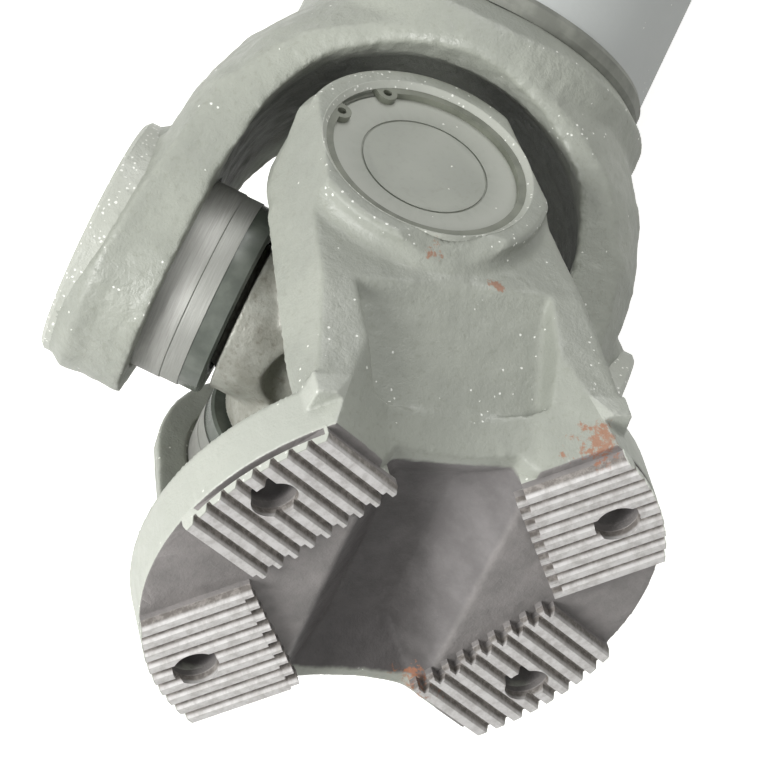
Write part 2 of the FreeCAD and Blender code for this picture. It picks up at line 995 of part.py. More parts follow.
def centred(parts):
    """The whole shaft moved so that its origin is the middle of its footprint."""
    reach = BoundBox()
    for name in ("flange_yoke_a", "tube_yoke", "slip_yoke", "flange_yoke_b"):
        reach.add(parts[name].optimalBoundingBox(False, False))
    shift = Matrix()
    shift.move(Vector(-reach.Center.x, -reach.Center.y, 0))
    for shape in parts.values():
        shape.transformShape(shift, True)
    return parts


def build():
    frames = joint_frames()
    parts = {}
    shaft = frames["tube_yoke"]
    slip = frames["slip_yoke"]
    flange = flange_yoke()
    parts["flange_yoke_a"] = placed(flange, frames["flange_a"])
    parts["flange_yoke_b"] = placed(flange, frames["flange_b"])
    parts["tube_yoke"] = placed(tube_yoke(), shaft)
    parts["tube_yoke_weld"] = placed(weld_bead(hub_end), shaft)
    parts["shaft_tube"] = placed(shaft_tube(), shaft)
    parts["splined_shaft_weld"] = placed(weld_bead(tube_end), shaft)
    parts["splined_shaft"] = placed(splined_shaft(), shaft)
    weight = balance_weight()
    for name, start, turn in (
        ("balance_weight_1", tube_start + balance_weight_length / 2, 215.0),
        ("balance_weight_2", tube_end - balance_weight_length * 1.5, -70.0),
    ):
        piece = weight.copy()
        piece.translate(Vector(0, 0, start))
        parts[name] = placed(piece, shaft, turn)
    parts["slip_yoke"] = placed(slip_yoke(), slip)
    parts["bore_plug"] = placed(bore_plug(), slip)
    parts["seal_cover"] = placed(seal_cover(), slip)
    parts["dust_seal"] = placed(dust_seal(), slip)
    nipple = grease_nipple(sleeve_radius - spline_major_radius - 1)
    nipple.rotate(Vector(0, 0, 0), Vector(1, 0, 0), -90)
    nipple.translate(
        Vector(0, spline_major_radius + 1, hub_end + spigot_length * 2 + nipple_height)
    )
    parts["slip_grease_nipple"] = placed(nipple, slip)
    body = cross()
    cross_nipple = grease_nipple(cross_recess_depth)
    cross_nipple.rotate(Vector(0, 0, 0), Vector(1, 0, 0), 180)
    cross_nipple.translate(Vector(0, 0, -cross_hub_half_height + cross_recess_depth * 2))
    set_parts = bearing_parts()
    for end, stem_yoke in (("a", "tube_yoke"), ("b", "slip_yoke")):
        parts["cross_" + end] = placed(body, frames["cross_" + end])
        parts["cross_grease_nipple_" + end] = placed(cross_nipple, frames["cross_" + end])
        for yoke, frame in (("flange", frames["flange_" + end]), ("shaft", frames[stem_yoke])):
            for number, spin in ((1, 0.0), (2, 180.0)):
                for kind, shape in set_parts.items():
                    name = "%s_%s_%s_%d" % (kind, yoke, end, number)
                    parts[name] = placed(shape, frame, spin)
    return centred(parts)


for node, solid in build().items():
    solid.exportStep("parts/%s.step" % node)
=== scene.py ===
import json
import math

import bmesh
import bpy
from mathutils import Matrix, Vector

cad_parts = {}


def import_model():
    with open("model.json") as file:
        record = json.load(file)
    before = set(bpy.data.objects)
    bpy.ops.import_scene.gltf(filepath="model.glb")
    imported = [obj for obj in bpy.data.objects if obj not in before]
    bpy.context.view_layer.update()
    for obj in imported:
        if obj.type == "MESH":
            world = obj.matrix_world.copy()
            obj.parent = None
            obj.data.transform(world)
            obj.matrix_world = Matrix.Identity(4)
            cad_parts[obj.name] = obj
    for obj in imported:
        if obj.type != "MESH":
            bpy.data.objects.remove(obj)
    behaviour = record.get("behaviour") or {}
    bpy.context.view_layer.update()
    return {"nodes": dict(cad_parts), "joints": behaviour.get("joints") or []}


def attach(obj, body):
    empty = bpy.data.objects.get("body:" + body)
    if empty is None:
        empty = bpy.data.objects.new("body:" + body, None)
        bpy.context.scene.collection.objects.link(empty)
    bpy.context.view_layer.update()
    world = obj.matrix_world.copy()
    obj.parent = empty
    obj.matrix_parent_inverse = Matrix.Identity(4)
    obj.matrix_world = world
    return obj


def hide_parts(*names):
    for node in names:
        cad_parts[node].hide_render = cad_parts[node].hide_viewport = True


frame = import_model()

# Sizes of the shaft in millimetres and degrees, as in the solid model
MM = 0.001
FLANGE_FACE = 113.8
PAD_BASE = 108.2
FLANGE_RADIUS = 90.0
FLANGE_BACK = 90.0
BOLT_CIRCLE = 75.0
BOLT_HOLE = 8.0
PAD_ANGLE = 55.0
PAD_INNER = 49.5
TEETH = 9
TOOTH_PITCH = 6.7
TOOTH_HEIGHT = 2.8
TOOTH_CREST_HALF = 1.5
TOOTH_ROOT_HALF = 2.8
TOOTH_WEAR = 0.35
TOOTH_OVERLAP = 0.2
TOOTH_END_STEP = 3.5
PAD_FOOT = 8.5
PAD_SEAT = 0.5
FACE_CUT = 0.05
EAR_INNER_FACE = 64.0
BOSS_FACE = 96.0
BOSS_RADIUS = 44.5
BOSS_CHAMFER = 1.5
BORE_RADIUS = 36.0
MOUTH_CHAMFER = 1.8
GROOVE_RADIUS = 37.85
CIRCLIP_END = 94.0
LINING = 2.1
CUP_END = 91.5
CUP_STEP = 53.5
BITE_BOTTOM = 50.0
BITE_SLOPE = 0.57
HUB_EDGE = 115.0
ARCH_RADIUS = 64.0
ARCH_TOP = 106.0
ARCH_CENTRE = ARCH_TOP - ARCH_RADIUS
ARCH_LIP = 7.0
LIP_DEPTH = 16.0
LIP_LEAST = 0.4
LIP_BEND = 2.1
LIP_SIDE_START = 28.0
LIP_SIDE_RISE = 22.0
LIP_FOOT = 25.0
LIP_FOOT_RISE = 20.0
SHARP_EDGE = 25.0
RING_STEPS = 128
HOLE_STEPS = 72
SHAFT_SWING = 34.0
FLANGE_SWING = -30.5

joints = {j["name"]: j for j in frame["joints"]}
CENTRE_A = Vector(joints["cross_a_pivot"]["pos_m"])
CENTRE_B = Vector(joints["cross_b_pivot"]["pos_m"])
ALONG = (CENTRE_B - CENTRE_A).normalized()
ACROSS = Vector((0, 1, 0))
UP = ALONG.cross(ACROSS)


def yoke_frame(x_axis, y_axis, z_axis, centre):
    """Matrix from a yoke's own axes, in metres, to the shaft's."""
    turn = Matrix((x_axis, y_axis, z_axis)).transposed().to_4x4()
    return Matrix.Translation(centre) @ turn


def flange_a_frame():
    g = math.radians(SHAFT_SWING)
    b = math.radians(FLANGE_SWING)
    x_axis = ALONG * math.sin(g) + UP * math.cos(g)
    stem = ALONG * math.cos(g) - UP * math.sin(g)
    y_axis = ACROSS * math.cos(b) + stem * math.sin(b)
    z_axis = ACROSS * math.sin(b) - stem * math.cos(b)
    return yoke_frame(x_axis, y_axis, z_axis, CENTRE_A)


FLANGE_A = flange_a_frame()
FLANGE_B = yoke_frame(Vector((0, 0, 1)), Vector((0, -1, 0)), Vector((1, 0, 0)), CENTRE_B)
TUBE_YOKE = yoke_frame(ACROSS, UP, ALONG, CENTRE_A)
SLIP_YOKE = yoke_frame(ACROSS, -UP, -ALONG, CENTRE_B)
AXIS_A = FLANGE_A.col[0].to_3d()
CROSS_A = yoke_frame(AXIS_A, ACROSS, AXIS_A.cross(ACROSS), CENTRE_A)
CROSS_B = yoke_frame(Vector((0, 0, 1)), ACROSS, Vector((-1, 0, 0)), CENTRE_B)


# Nodes and colours

def linear(hex_colour):
    """sRGB hex colour as linear RGBA."""
    values = [int(hex_colour[i:i + 2], 16) / 255 for i in (1, 3, 5)]
    return [v / 12.92 if v <= 0.04045 else ((v + 0.055) / 1.055) ** 2.4 for v in values] + [1.0]


RGBA = {"data_type": "RGBA"}
SMOOTH = {"interpolation_type": "SMOOTHSTEP"}


def add(tree, kind, settings, *values, **named):
    """A node with its settings. Values go to its enabled inputs in order and named ones by name:
    each is a constant, a socket, or a node whose first enabled output is linked."""
    node = tree.nodes.new("ShaderNode" + kind)
    for key, value in settings.items():
        setattr(node, key, value)
    free = [socket for socket in node.inputs if socket.enabled]
    pairs = list(zip(free, values)) + [(node.inputs[key.replace("_", " ")], v) for key, v in named.items()]
    for socket, value in pairs:
        if isinstance(value, bpy.types.Node):
            value = next(output for output in value.outputs if output.enabled)
        if isinstance(value, bpy.types.NodeSocket):
            tree.links.new(value, socket)
        else:
            socket.default_value = value
    return node


def new_material(name):
    """A material with an empty tree, and its Object coordinates."""
    material = bpy.data.materials.new(name)
    material.use_nodes = True
    tree = material.node_tree
    tree.nodes.clear()
    return material, tree, add(tree, "TexCoord", {}).outputs["Object"]


def own_axes(tree, place, yoke):
    """The place in a yoke's own axes, in millimetres."""
    back = yoke.inverted()
    shift = back.translation / MM
    return add(tree, "Mapping", {"vector_type": "POINT"}, place, shift, back.to_euler(), [1 / MM] * 3)


# Finishes

def paint_colour(tree, place):
    """Thin grey-green spray paint: cloudy, paler where dry and on edges, with painted shade darkening the
    hollows.
    """
    clouds = add(tree, "TexNoise", {}, place, 1 / (42 * MM), 4.0, 0.55)
    clouds = add(tree, "MapRange", SMOOTH, clouds, 0.35, 0.7)
    colour = add(tree, "Mix", RGBA, clouds, linear("#90938A"), linear("#9B9E94"))
    specks = add(tree, "TexNoise", {}, place, 1 / (2.2 * MM), 3.0, 0.6)
    specks = add(tree, "MapRange", SMOOTH, specks, 0.52, 0.72, 0.0, 0.4)
    colour = add(tree, "Mix", RGBA, specks, colour, linear("#85887C"))
    edges = add(tree, "NewGeometry", {}).outputs["Pointiness"]
    worn = add(tree, "MapRange", SMOOTH, edges, 0.515, 0.57, 0.0, 0.5)
    colour = add(tree, "Mix", RGBA, worn, colour, linear("#BFC1B8"))
    # painted shade: low pointiness darkens hollows and creases where shade falls
    painted_hollow_shade = add(tree, "MapRange", SMOOTH, edges, 0.488, 0.44, 0.0, 0.6)
    return add(tree, "Mix", RGBA, painted_hollow_shade, colour, linear("#6C6F64"))


def flecked(tree, place, colour, rim=0.0):
    """White chips and overspray: small ragged flecks, denser where rim rises to 1."""
    ragged = add(tree, "TexNoise", {}, place, 1 / (0.9 * MM), 3.0, 0.7)
    cells = add(tree, "TexVoronoi", {"feature": "F1"}, place, 1 / (2.0 * MM))
    distance = add(tree, "Math", {"operation": "MULTIPLY_ADD"}, ragged, -0.55, cells.outputs["Distance"])
    distance = add(tree, "Math", {"operation": "ADD"}, distance, 0.06)
    chance = add(tree, "SeparateColor", {}, cells.outputs["Color"]).outputs[0]
    patches = add(tree, "TexNoise", {}, place, 1 / (30 * MM), 3.0, 0.6)
    patches = add(tree, "MapRange", SMOOTH, patches, 0.5, 0.75, 0.0, 0.3)
    share = add(tree, "Math", {"operation": "ADD"}, patches, rim)
    picked = add(tree, "Math", {"operation": "LESS_THAN"}, chance, share)
    near = add(tree, "Math", {"operation": "LESS_THAN"}, distance, 0.0)
    fleck = add(tree, "Math", {"operation": "MULTIPLY"}, near, picked)
    return add(tree, "Mix", RGBA, fleck, colour, linear("#E2E3DC"))


def worn_edges(tree):
    """Most of the chips are on a forging's outer edges."""
    edges = add(tree, "NewGeometry", {}).outputs["Pointiness"]
    return add(tree, "MapRange", SMOOTH, edges, 0.52, 0.57, 0.0, 0.6)


def stained(tree, place, colour, stains):
    """Ragged rust stains: each is a place in millimetres and a radius."""
    ragged = add(tree, "TexNoise", {}, place, 1 / 3.0, 4.0, 0.7)
    ragged = add(tree, "Math", {"operation": "MULTIPLY_ADD"}, ragged, 2.4, -0.8)
    for x, y, z, radius in stains:
        distance = add(tree, "VectorMath", {"operation": "DISTANCE"}, place, (x, y, z))
        distance = add(tree, "Math", {"operation": "DIVIDE"}, distance.outputs["Value"], radius)
        distance = add(tree, "Math", {"operation": "ADD"}, distance, ragged)
        rust = add(tree, "MapRange", SMOOTH, distance, 1.1, 0.75, 0.0, 0.75)
        colour = add(tree, "Mix", RGBA, rust, colour, linear("#8F5B3C"))
    return colour


def paint_gloss(tree, place):
    """Satin paint: rougher where it went on dry."""
    patches = add(tree, "TexNoise", {}, place, 1 / (9 * MM), 3.0, 0.5)
    return add(tree, "MapRange", SMOOTH, patches, 0.35, 0.7, 0.36, 0.55)


def forging_height(tree, place):
    """Height of a shot-blasted forging's skin: low lumps with a fine sandy grain."""
    low = add(tree, "TexNoise", {}, place, 1 / (4.5 * MM), 4.0, 0.6)
    fine = add(tree, "TexNoise", {}, place, 1 / (0.9 * MM), 2.0, 0.6)
    return add(tree, "Math", {"operation": "MULTIPLY_ADD"}, fine, 0.3, low)


def finished(material, tree, colour, rough, metal, height, depth_mm):
    """The finish's shader with its skin's height as a bump."""
    bump = add(tree, "Bump", {}, 1.0, depth_mm * MM, Height=height)
    shader = add(tree, "BsdfPrincipled", {}, colour, metal, rough, Normal=bump)
    add(tree, "OutputMaterial", {}, shader)
    return material


def fork_paint(name, yoke):
    """Spray paint over a shot-blasted steel forging: satin, as lumpy as the forging, and dark
    with painted shade inside the arch, where the arch's own shadow falls."""
    material, tree, place = new_material(name)
    colour = flecked(tree, place, paint_colour(tree, place), worn_edges(tree))
    x, y, z = add(tree, "SeparateXYZ", {}, own_axes(tree, place, yoke)).outputs
    z = add(tree, "Math", {"operation": "SUBTRACT"}, z, ARCH_CENTRE)
    out = add(tree, "CombineXYZ", {}, x, z)
    out = add(tree, "VectorMath", {"operation": "LENGTH"}, out).outputs["Value"]
    inside = add(tree, "MapRange", SMOOTH, out, ARCH_RADIUS + 3.0, ARCH_RADIUS)
    aside = add(tree, "Math", {"operation": "ABSOLUTE"}, y)
    # painted shade: darkens the inside of the arch as if in its own shadow
    painted_arch_shade = add(tree, "MapRange", SMOOTH, aside, 46.0, 26.0, 0.0, 0.75)
    painted_arch_shade = add(tree, "Math", {"operation": "MULTIPLY"}, painted_arch_shade, inside)
    colour = add(tree, "Mix", RGBA, painted_arch_shade, colour, linear("#3E403A"))
    return finished(material, tree, colour, paint_gloss(tree, place), 0.0, forging_height(tree, place), 0.6)


def pad_places(tree, x, y):
    """How far a place is from the flange axis along its pad, and from the pad's middle line."""
    a = math.radians(PAD_ANGLE)
    x = add(tree, "Math", {"operation": "ABSOLUTE"}, x)
    y = add(tree, "Math", {"operation": "ABSOLUTE"}, y)
    places = []
    for in_x, in_y in ((math.cos(a), math.sin(a)), (math.sin(a), -math.cos(a))):
        part = add(tree, "Math", {"operation": "MULTIPLY"}, y, in_y)
        places.append(add(tree, "Math", {"operation": "MULTIPLY_ADD"}, x, in_x, part))
    return places


def flange_finish(name, yoke, stains):
    """Painted forging whose machined front is bare: bright tooth crests over dirty roots, a
    grey turned face, a darker trough left as blasted with a painted shadow across its deep side, and a
    painted highlight on the rim's side."""
    material, tree, place = new_material(name)
    own = own_axes(tree, place, yoke)
    axes = add(tree, "SeparateXYZ", {}, own)
    x, y, z = axes.outputs
    aside = add(tree, "CombineXYZ", {}, y, z)
    aside = add(tree, "VectorMath", {"operation": "LENGTH"}, aside).outputs["Value"]
    rim = add(tree, "MapRange", SMOOTH, aside, BORE_RADIUS + 2.5, BOSS_RADIUS - 2.0, 0.0, 0.65)
    outer = add(tree, "Math", {"operation": "ABSOLUTE"}, x)
    outer = add(tree, "MapRange", SMOOTH, outer, BOSS_FACE - 5.0, BOSS_FACE - 1.5)
    rim = add(tree, "Math", {"operation": "MULTIPLY"}, rim, outer)
    rim = add(tree, "Math", {"operation": "MAXIMUM"}, rim, worn_edges(tree))
    paint = flecked(tree, place, paint_colour(tree, place), rim)

    patches = add(tree, "TexNoise", {}, place, 1 / (16 * MM), 5.0, 0.65)
    patches = add(tree, "MapRange", SMOOTH, patches, 0.35, 0.7)
    trough = add(tree, "Mix", RGBA, patches, linear("#656261"), linear("#777473"))
    face = add(tree, "Mix", RGBA, patches, linear("#726F6D"), linear("#84807E"))
    turned = add(tree, "MapRange", SMOOTH, z, PAD_BASE - 2.0, PAD_BASE - 0.5)
    bare = add(tree, "Mix", RGBA, turned, trough, face)
    # painted shadow: a diagonal dark patch over the deep part of the trough, where its wall's shadow falls
    shade = add(tree, "Math", {"operation": "MULTIPLY_ADD"}, x, -0.34, y)
    shade = add(tree, "MapRange", SMOOTH, shade, -22.0, -6.0)
    deep = add(tree, "MapRange", SMOOTH, z, PAD_BASE - 0.5, PAD_BASE - 4.0)
    shade = add(tree, "Math", {"operation": "MULTIPLY"}, shade, deep)
    scale_and_painted_shadow = add(tree, "Mix", RGBA, patches, linear("#3D3A39"), linear("#4F4C4B"))
    bare = add(tree, "Mix", RGBA, shade, bare, scale_and_painted_shadow)

    bite = add(tree, "Math", {"operation": "ABSOLUTE"}, x)
    bottom = -BITE_BOTTOM - BITE_SLOPE * FLANGE_FACE
    slope = add(tree, "Math", {"operation": "MULTIPLY_ADD"}, z, BITE_SLOPE, bottom)
    bite = add(tree, "Math", {"operation": "ADD"}, bite, slope)
    ragged = add(tree, "TexNoise", {}, place, 1 / (12 * MM), 3.0, 0.6)
    bite = add(tree, "Math", {"operation": "MULTIPLY_ADD"}, ragged, 6.0, bite)
    inside = add(tree, "MapRange", SMOOTH, bite, 1.0, -1.5)
    deep = add(tree, "MapRange", SMOOTH, z, 84.0, 88.0)
    front = add(tree, "Math", {"operation": "MULTIPLY"}, inside, deep)
    level = add(tree, "MapRange", SMOOTH, z, PAD_BASE - 0.5, PAD_BASE - 0.2)
    front = add(tree, "Math", {"operation": "MAXIMUM"}, front, level)
    flat = add(tree, "CombineXYZ", {}, x, y)
    radius = add(tree, "VectorMath", {"operation": "LENGTH"}, flat).outputs["Value"]
    within = add(tree, "Math", {"operation": "LESS_THAN"}, radius, FLANGE_RADIUS - 0.35)
    front = add(tree, "Math", {"operation": "MULTIPLY"}, front, within)
    # painted highlight: the turned rim's side is made lighter where the key light falls on it
    band = add(tree, "MapRange", SMOOTH, z, FLANGE_BACK, FLANGE_BACK + 2.0, 0.0, 0.5)
    outside = add(tree, "Math", {"operation": "SUBTRACT"}, 1.0, within)
    band = add(tree, "Math", {"operation": "MULTIPLY"}, band, outside)
    paint = add(tree, "Mix", RGBA, band, paint, linear("#B9BCB3"))
    colour = add(tree, "Mix", RGBA, front, paint, bare)

    along, across = pad_places(tree, x, y)
    beside = add(tree, "Math", {"operation": "ABSOLUTE"}, across)
    beside = add(tree, "Math", {"operation": "LESS_THAN"}, beside, TEETH * TOOTH_PITCH / 2)
    outward = add(tree, "Math", {"operation": "GREATER_THAN"}, along, PAD_INNER - TOOTH_END_STEP - 0.1)
    on_pad = add(tree, "Math", {"operation": "MULTIPLY"}, beside, outward)
    on_pad = add(tree, "Math", {"operation": "MULTIPLY"}, on_pad, within)
    teeth = add(tree, "MapRange", SMOOTH, z, PAD_BASE + 1.6, PAD_BASE + 2.4)
    teeth = add(tree, "Math", {"operation": "MULTIPLY"}, on_pad, teeth)
    smut = add(tree, "TexNoise", {}, place, 1 / (2.4 * MM), 4.0, 0.7)
    dirt = add(tree, "MapRange", SMOOTH, smut, 0.4, 0.65)
    dirt = add(tree, "Mix", RGBA, dirt, linear("#6B6661"), linear("#8F8A85"))
    streaks = add(tree, "Mapping", {}, own, (0, 0, 0), (0, 0, 0), (1.0, 1.0, 0.2))
    streaks = add(tree, "TexNoise", {}, streaks, 1 / 4.0, 5.0, 0.7)
    streaks = add(tree, "MapRange", SMOOTH, streaks, 0.38, 0.68)
    steel = add(tree, "Mix", RGBA, streaks, linear("#C9C7C5"), linear("#AFACA9"))
    crest = add(tree, "MapRange", SMOOTH, z, FLANGE_FACE - 1.8, FLANGE_FACE - 0.6)
    toothed = add(tree, "Mix", RGBA, crest, dirt, steel)
    colour = add(tree, "Mix", RGBA, teeth, colour, toothed)
    colour = stained(tree, own, colour, stains)

    metal = add(tree, "Math", {"operation": "MULTIPLY"}, crest, teeth)
    rough = add(tree, "Mix", {"data_type": "FLOAT"}, front, paint_gloss(tree, place), 0.6)
    rough = add(tree, "Mix", {"data_type": "FLOAT"}, metal, rough, 0.4)
    metal = add(tree, "Math", {"operation": "MULTIPLY"}, metal, 0.25)
    smooth = add(tree, "MapRange", SMOOTH, teeth, 0.0, 1.0, 1.0, 0.15)
    height = add(tree, "Math", {"operation": "MULTIPLY"}, forging_height(tree, place), smooth)
    return finished(material, tree, colour, rough, metal, height, 0.4)


def tube_paint():
    """Spray paint over drawn steel tube: smoother and a little bluer than the forgings."""
    material, tree, place = new_material("sprayed_drawn_tube")
    colour = add(tree, "Mix", RGBA, 0.6, paint_colour(tree, place), linear("#BCC0C1"))
    skin = add(tree, "TexNoise", {}, place, 1 / (3 * MM), 3.0, 0.5)
    return finished(material, tree, flecked(tree, place, colour), 0.4, 0.0, skin, 0.08)


def cup_finish(name, yoke):
    """Ground bearing steel: grey under a film of oil, with fine marks round the cup. Its outer
    end is sprayed with the yoke."""
    material, tree, place = new_material(name)
    own = own_axes(tree, place, yoke)
    depth = add(tree, "Math", {"operation": "ABSOLUTE"}, add(tree, "SeparateXYZ", {}, own))
    marks = add(tree, "Mapping", {}, own, (0, 0, 0), (0, 0, 0), (6.0, 0.25, 0.25))
    marks = add(tree, "TexNoise", {}, marks, 1 / 3.0, 4.0, 0.6)
    marks = add(tree, "MapRange", SMOOTH, marks, 0.3, 0.7)
    steel = add(tree, "Mix", RGBA, marks, linear("#94948F"), linear("#A6A6A1"))
    oil = add(tree, "TexNoise", {}, place, 1 / (18 * MM), 4.0, 0.6)
    oil = add(tree, "MapRange", SMOOTH, oil, 0.5, 0.75, 0.0, 0.5)
    steel = add(tree, "Mix", RGBA, oil, steel, linear("#84847E"))
    band = add(tree, "MapRange", SMOOTH, depth, CUP_STEP + 1.0, CUP_STEP, 0.0, 0.35)
    steel = add(tree, "Mix", RGBA, band, steel, linear("#7E817A"))
    painted = add(tree, "Math", {"operation": "GREATER_THAN"}, depth, CUP_END - 0.9)
    colour = add(tree, "Mix", RGBA, painted, steel, flecked(tree, place, paint_colour(tree, place)))
    metal = add(tree, "MapRange", {}, painted, 0.0, 1.0, 0.35, 0.0)
    rough = add(tree, "Mix", {"data_type": "FLOAT"}, painted, 0.48, 0.46)
    return finished(material, tree, colour, rough, metal, marks, 0.03)


def forged_cross():
    """Case-hardened cross as forged: grey-green scale and drips of paint over bare steel."""
    material, tree, place = new_material("scaled_forged_steel")
    scale_and_painted_shadow = add(tree, "TexNoise", {}, place, 1 / (12 * MM), 5.0, 0.65)
    scale_and_painted_shadow = add(tree, "MapRange", SMOOTH, scale_and_painted_shadow, 0.35, 0.7)
    colour = add(tree, "Mix", RGBA, scale_and_painted_shadow, linear("#85857B"), linear("#9A9B92"))
    specks = add(tree, "TexNoise", {}, place, 1 / (2.5 * MM), 3.0, 0.6)
    specks = add(tree, "MapRange", SMOOTH, specks, 0.5, 0.75, 0.0, 0.5)
    colour = add(tree, "Mix", RGBA, specks, colour, linear("#625C50"))
    edges = add(tree, "NewGeometry", {}).outputs["Pointiness"]
    edges = add(tree, "MapRange", SMOOTH, edges, 0.51, 0.56, 0.0, 0.6)
    colour = add(tree, "Mix", RGBA, edges, colour, linear("#A5A59C"))
    return finished(material, tree, colour, 0.42, 0.15, forging_height(tree, place), 0.3)


def plain_finish(name, base, other, metallic, roughness):
    """A small piece's finish: two close colours in soft patches over a fine grain."""
    material, tree, place = new_material(name)
    patches = add(tree, "TexNoise", {}, place, 1 / (10 * MM), 4.0, 0.55)
    patches = add(tree, "MapRange", SMOOTH, patches, 0.35, 0.7)
    colour = add(tree, "Mix", RGBA, patches, linear(base), linear(other))
    skin = add(tree, "TexNoise", {}, place, 1 / (4 * MM), 3.0, 0.55)
    return finished(material, tree, colour, roughness, metallic, skin, 0.04)


# Rust stains on flange A: x, y, z and radius in its own axes
STAINS = (
    (94.5, 7.0, 43.3, 6.5),
    (86.5, -16.3, 50.5, 4.5),
    (72.0, -30.5, 107.0, 10.0),
    (75.5, -43.0, 107.0, 12.0),
    (73.0, 25.0, 106.5, 9.0),
    (-51.0, -18.0, 107.0, 8.0),
    (-54.0, -25.0, 107.0, 10.0),
)

FINISHES = {
    "tube_yoke": fork_paint("sprayed_tube_yoke", TUBE_YOKE),
    "slip_yoke": fork_paint("sprayed_slip_yoke", SLIP_YOKE),
    "flange_a": flange_finish("sprayed_flange_a", FLANGE_A, STAINS),
    "flange_b": flange_finish("sprayed_flange_b", FLANGE_B, STAINS[3:5]),
    "tube": tube_paint(),
    "cup_flange_a": cup_finish("ground_cup_flange_a", FLANGE_A),
    "cup_flange_b": cup_finish("ground_cup_flange_b", FLANGE_B),
    "cup_shaft_a": cup_finish("ground_cup_shaft_a", TUBE_YOKE),
    "cup_shaft_b": cup_finish("ground_cup_shaft_b", SLIP_YOKE),
    "cross": forged_cross(),
    "painted_clip": plain_finish("sprayed_spring_steel", "#7A7D71", "#65685D", 0.0, 0.42),
    "painted_seal": plain_finish("oiled_seal_shell", "#51564F", "#646961", 0.1, 0.26),
    "weld": plain_finish("sprayed_weld_bead", "#6E7068", "#84867D", 0.0, 0.5),
    "spline": plain_finish("greased_broached_steel", "#8F8A80", "#6F675A", 0.8, 0.36),
    "zinc": plain_finish("zinc_plated_steel", "#B9B7AE", "#99968C", 0.85, 0.38),
    "rubber": plain_finish("nitrile_rubber", "#26262A", "#303034", 0.0, 0.6),
    "roller": plain_finish("polished_roller_steel", "#C9C9C6", "#B2B2AE", 1.0, 0.22),
    "washer": plain_finish("moulded_nylon", "#CFC6AE", "#BDB399", 0.0, 0.5),
}


# Pieces

def show(name, mesh, body, node, finish):
    """A finished mesh as a piece that stands for its CAD node."""
    piece = bpy.data.objects.new(name, mesh)
    bpy.context.scene.collection.objects.link(piece)
    mesh.materials.clear()
    mesh.materials.append(finish)
    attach(piece, body)
    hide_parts(node)
    return piece


def evaluated(holder):
    graph = bpy.context.evaluated_depsgraph_get()
    return bpy.data.meshes.new_from_object(holder.evaluated_get(graph))


def merged_shell(node):
    """A node's own triangles, welded."""
    shell = bmesh.new()
    shell.from_mesh(frame["nodes"][node].data)
    bmesh.ops.remove_doubles(shell, verts=shell.verts, dist=0.002 * MM)
    return shell


def held(name, shell):
    """The shell as an object, while a modifier works on it."""
    mesh = bpy.data.meshes.new(name)
    shell.to_mesh(mesh)
    shell.free()
    holder = bpy.data.objects.new(name, mesh)
    bpy.context.scene.collection.objects.link(holder)
    return holder


def cut_off_pads(shell, yoke):
    """Takes off what stands above the flange's turned face, and closes the cut."""
    normal = yoke.col[2].to_3d().normalized()
    point = yoke.translation + normal * (PAD_BASE + FACE_CUT) * MM
    everything = list(shell.verts) + list(shell.edges) + list(shell.faces)
    cut = bmesh.ops.bisect_plane(shell, geom=everything, plane_co=point, plane_no=normal, clear_outer=True)
    rim = [e for e in cut["geom_cut"] if isinstance(e, bmesh.types.BMEdge) and e.is_boundary]
    bmesh.ops.triangle_fill(shell, use_beauty=True, edges=rim)
    bmesh.ops.recalc_face_normals(shell, faces=shell.faces)


def lumps(name, size_mm):
    texture = bpy.data.textures.new(name, "CLOUDS")
    texture.noise_scale = size_mm * MM
    texture.noise_depth = 3
    return texture


def forged(name, shell, yoke, softness, voxel_mm, passes, lump_mm, lump_height_mm, triangles):
    """A forging's real edges: the solid remeshed finely, its forged faces smoothed until their
    edges are round and given the lumps of the die. Softness says how much at a place."""
    holder = held(name + "_holder", shell)
    remesh = holder.modifiers.new("remesh", "REMESH")
    remesh.mode = "VOXEL"
    remesh.voxel_size = voxel_mm * MM
    mesh = evaluated(holder)
    holder.modifiers.clear()
    holder.data = mesh
    levels = {}
    inverse = yoke.inverted()
    for vertex in mesh.vertices:
        level = softness(*(inverse @ vertex.co / MM))
        levels.setdefault(level, []).append(vertex.index)
    group = holder.vertex_groups.new(name="forged")
    for level, members in levels.items():
        group.add(members, level, "REPLACE")
    smooth = holder.modifiers.new("smooth", "SMOOTH")
    smooth.factor = 0.5
    smooth.iterations = passes
    smooth.vertex_group = "forged"
    displace = holder.modifiers.new("lumps", "DISPLACE")
    displace.texture = lumps(name + "_lumps", lump_mm)
    displace.texture_coords = "LOCAL"
    displace.strength = lump_height_mm * MM
    displace.mid_level = 0.5
    displace.vertex_group = "forged"
    decimate = holder.modifiers.new("decimate", "DECIMATE")
    decimate.ratio = min(1.0, triangles / (2.0 * len(mesh.polygons)))
    finished_mesh = evaluated(holder)
    for polygon in finished_mesh.polygons:
        polygon.use_smooth = True
    bpy.data.objects.remove(holder)
    return finished_mesh


def near_bolt_hole(x, y):
    a = math.radians(PAD_ANGLE)
    dx = abs(x) - BOLT_CIRCLE * math.cos(a)
    dy = abs(y) - BOLT_CIRCLE * math.sin(a)
    return math.hypot(dx, dy) < BOLT_HOLE + 1.5


def flange_softness(x, y, z):
    """Machined faces stay crisp: the turned front and rim, bolt holes, bores and boss faces."""
    if near_bolt_hole(x, y):
        return 0.0
    if z > PAD_BASE - 6.0:
        return 1.0 if abs(y) < 36.0 and math.hypot(x, y) < FLANGE_RADIUS - 6.0 else 0.0
    if abs(x) > 55 and math.hypot(y, z) < BORE_RADIUS + 1.5:
        return 0.1
    if math.hypot(x, y) > FLANGE_RADIUS - 0.5 and z > FLANGE_BACK:
        return 0.0
    if math.hypot(x, y) > FLANGE_RADIUS - 3.0 and z > FLANGE_BACK:
        return 0.2
    if abs(x) > BOSS_FACE - 2.0:
        return 0.3
    return 1.0


